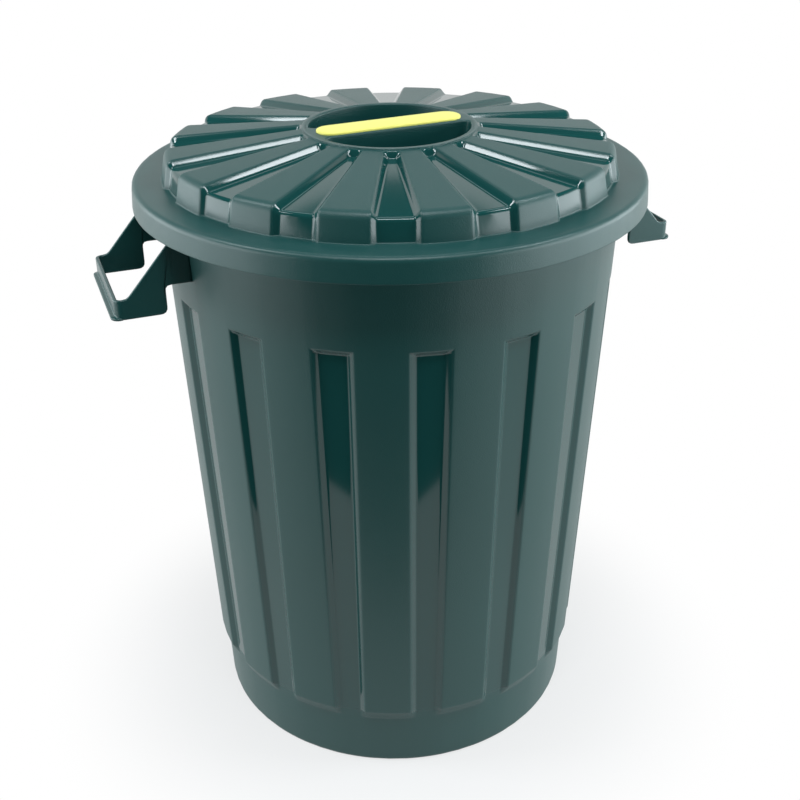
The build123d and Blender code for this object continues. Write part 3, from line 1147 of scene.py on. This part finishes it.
@dataclass
class Studio:
    """Camera, floor, lights, dark cards and world.

    Directions are azimuths from the side of the camera, to the right, and heights above the horizon.
    """

    camera_place: tuple[float, float, float] = (-0.38530, -1.05298, 0.93616)
    camera_azimuth: float = 20.503
    camera_pitch: float = 28.209
    camera_roll: float = -0.438
    lens: float = 52.568
    middle: tuple[float, float, float] = (0.0, 0.0, 0.45)
    toward_camera: float = -110.1
    lamp_colour: tuple[float, float, float] = (0.93, 1.0, 1.04)
    card_colour: str = "20302F"
    dome_rise: float = 0.3
    boxes: tuple[SoftBox, ...] = (
        SoftBox("high_box_right", 80.0, 50.0, 2.0, 0.50, 0.55, 18.0),
        SoftBox("low_box_right", 84.0, 6.0, 1.7, 2.5, 0.95, 4.6),
        SoftBox("high_box_left", -80.0, 50.0, 2.0, 0.50, 0.55, 18.0),
        SoftBox("low_box_left", -84.0, 6.0, 1.7, 2.5, 0.95, 3.7),
        SoftBox("front_box", 3.0, 62.0, 2.0, 0.95, 0.34, 18.0),
        SoftBox("back_box", 180.0, 56.0, 2.3, 1.6, 0.45, 2.4),
        SoftBox("overhead_box", 0.0, 89.0, 2.2, 1.2, 1.2, 0.6))
    domes: tuple[DarkDome, ...] = (
        DarkDome("dark_ceiling_front", (-100.0, 100.0), (14.0, 90.0), 3.4),
        DarkDome("dark_ceiling_back", (100.0, 260.0), (35.0, 90.0), 3.4),
        DarkDome("dark_front", (-44.0, 36.0), (-4.0, 16.0), 3.3))

    def direction(self, azimuth: float, height: float) -> Vector:
        """Unit vector for an azimuth from the camera's side and a height, both in degrees."""
        a, e = math.radians(self.toward_camera + azimuth), math.radians(height)
        return Vector((math.cos(a) * math.cos(e), math.sin(a) * math.cos(e), math.sin(e)))

    def camera(self) -> None:
        """Place the camera at the photograph's viewing angle."""
        az, pitch, roll = (math.radians(v) for v in (self.camera_azimuth, self.camera_pitch,
                                                     self.camera_roll))
        forward = Vector((math.sin(az) * math.cos(pitch), math.cos(az) * math.cos(pitch),
                          -math.sin(pitch)))
        level = Vector((math.cos(az), -math.sin(az), 0.0))
        upright = level.cross(forward)
        right = math.cos(roll) * level + math.sin(roll) * upright
        up = -math.sin(roll) * level + math.cos(roll) * upright
        data = bpy.data.cameras.new("camera")
        data.lens, data.sensor_width = self.lens, 36.0
        data.clip_start, data.clip_end = 0.05, 100.0
        made = placed("camera", data)
        turn = Matrix((right, up, -forward)).transposed().to_4x4()
        made.matrix_world = Matrix.Translation(self.camera_place) @ turn
        bpy.context.scene.camera = made

    def lamp(self, box: SoftBox) -> None:
        """Hang one soft box. Its power is its radiance times pi times its area.

        Args:
            box: its place, size and brightness.
        """
        data = bpy.data.lights.new(box.name, "AREA")
        data.shape, data.size, data.size_y = "RECTANGLE", box.width, box.tall
        data.energy = box.radiance * math.pi * box.width * box.tall
        data.color = self.lamp_colour
        made = placed(box.name, data)
        toward = self.direction(box.azimuth, box.height)
        turn = toward.to_track_quat("Z", "Y").to_matrix().to_4x4()
        made.matrix_world = Matrix.Translation(Vector(self.middle) + toward * box.distance) @ turn
        made.visible_camera = False

    def card(self, name: str, points: Array) -> None:
        """Dark card for reflections and bounced light. The camera doesn't see it and it casts no shadow.

        Args:
            name: object's name.
            points: grid of its points in metres.
        """
        rows, columns = points.shape[:2]
        number = np.arange(rows * columns).reshape(rows, columns)
        quads = np.stack([number[:-1, :-1], number[:-1, 1:], number[1:, 1:], number[1:, :-1]], axis=-1)
        mesh = bpy.data.meshes.new(name)
        mesh.from_pydata(points.reshape(-1, 3), [], quads.reshape(-1, 4).tolist())
        made = placed(name, mesh)
        material = bpy.data.materials.new(name)
        tree = empty_tree(material)
        glow = node(tree, "ShaderNodeEmission", values={"Color": linear(self.card_colour), "Strength": 1.0})
        node(tree, "ShaderNodeOutputMaterial", {"Surface": glow.outputs[0]})
        mesh.materials.append(material)
        made.visible_camera = False
        made.visible_shadow = False
        made.visible_transmission = False

    def dome_card(self, dome: DarkDome) -> None:
        """Hang one dark dome card: the ball's points (cos a cos e, sin a cos e, sin e) times its radius.

        Args:
            dome: its directions and radius.
        """
        a = np.radians(self.toward_camera + np.linspace(dome.azimuths[0], dome.azimuths[1], 49))[None]
        e = np.radians(np.linspace(dome.heights[0], dome.heights[1], 25))[:, None]
        x, y, z = (np.cos(a) * np.cos(e), np.sin(a) * np.cos(e), np.sin(e) + 0 * a)
        self.card(dome.name, np.stack([x * dome.radius, y * dome.radius,
                                       z * dome.radius + self.dome_rise], axis=-1))

    def ground_card(self) -> None:
        """Dark card on the floor in front: a wide wedge whose edges the polished flutes reflect.

        Its near edge stands at apex + slope |s| for the distance s to the left or the right.
        """
        front, right = self.direction(0.0, 0.0), self.direction(90.0, 0.0)
        apex, far, height, half_width = 0.473, 3.2, 0.001, 2.2
        left_slope, right_slope = 0.44, 0.86
        across = np.linspace(-1.0, 1.0, 41)
        near = apex + np.where(across < 0, -left_slope, right_slope) * across * half_width
        out = np.linspace(0.0, 1.0, 12)[:, None]
        ahead = near[None] + (np.maximum(far, near + 0.2) - near)[None] * out
        aside = np.broadcast_to(across * half_width, ahead.shape)
        flat = ahead[..., None] * np.array(front) + aside[..., None] * np.array(right)
        flat[..., 2] = height
        self.card("dark_ground", flat)

    def floor(self) -> None:
        """White floor that keeps the bin's shadow near it and turns to plain white further out."""
        half = 30.0
        mesh = bpy.data.meshes.new("floor")
        mesh.from_pydata([(-half, -half, 0), (half, -half, 0), (half, half, 0), (-half, half, 0)], [],
                         [(0, 1, 2, 3)])
        made = placed("floor", mesh)
        material = bpy.data.materials.new("white_paper")
        tree = empty_tree(material)
        place = node(tree, "ShaderNodeTexCoord").outputs["Object"]
        away = node(tree, "ShaderNodeVectorMath", {0: place}, operation="LENGTH").outputs["Value"]
        far = node(tree, "ShaderNodeMapRange", {"Value": away},
                   {"From Min": 0.20, "From Max": 0.42, "To Min": 0.68},
                   interpolation_type="SMOOTHSTEP").outputs[0]
        share = node(tree, "ShaderNodeMath", {0: far, 1: seen_plainly(tree)}, operation="MULTIPLY")
        paper = node(tree, "ShaderNodeBsdfDiffuse", values={"Color": linear("C4C4C4")})
        glow = node(tree, "ShaderNodeEmission", values={"Color": (1, 1, 1, 1), "Strength": 1.0})
        mix = node(tree, "ShaderNodeMixShader", {0: share.outputs[0], 1: paper.outputs[0],
                                                 2: glow.outputs[0]})
        node(tree, "ShaderNodeOutputMaterial", {"Surface": mix.outputs[0]})
        mesh.materials.append(material)

    def world(self) -> None:
        """White to the camera and in reflections, a weaker soft light for everything else."""
        world = bpy.data.worlds.new("studio_room")
        bpy.context.scene.world = world
        tree = empty_tree(world)
        fill = node(tree, "ShaderNodeBackground", values={"Color": (1, 1, 1, 1), "Strength": 0.35})
        white = node(tree, "ShaderNodeBackground", values={"Color": (1, 1, 1, 1), "Strength": 1.0})
        mix = node(tree, "ShaderNodeMixShader", {0: seen_plainly(tree), 1: fill.outputs[0],
                                                 2: white.outputs[0]})
        node(tree, "ShaderNodeOutputWorld", {"Surface": mix.outputs[0]})

    def build(self) -> None:
        """Set up the whole studio."""
        self.camera()
        self.floor()
        self.world()
        for box in self.boxes:
            self.lamp(box)
        for dome in self.domes:
            self.dome_card(dome)
        self.ground_card()
        bpy.context.scene.view_settings.view_transform = "Standard"
        log.info("studio ready")


def main() -> None:
    """Build every piece in order and report it."""
    logging.basicConfig(level=logging.INFO, format="%(name)s %(message)s")
    green = MouldedPolypropylene("moulded_polypropylene_bottle_green", "14403E", "164442").material()
    yellow = MouldedPolypropylene("moulded_polypropylene_lemon", "E4DE6A", "E8E172", polish=0.3,
                                  grain_strength=0.05).material()
    Tub().dress(green)
    Lid(LID_TURN).dress(green)
    GripStrip(LID_TURN).dress(yellow)
    Handle("handle_right", 0.0).dress(green)
    Handle("handle_left", 180.0).dress(green)
    Studio().build()


if __name__ == "__main__":
    main()
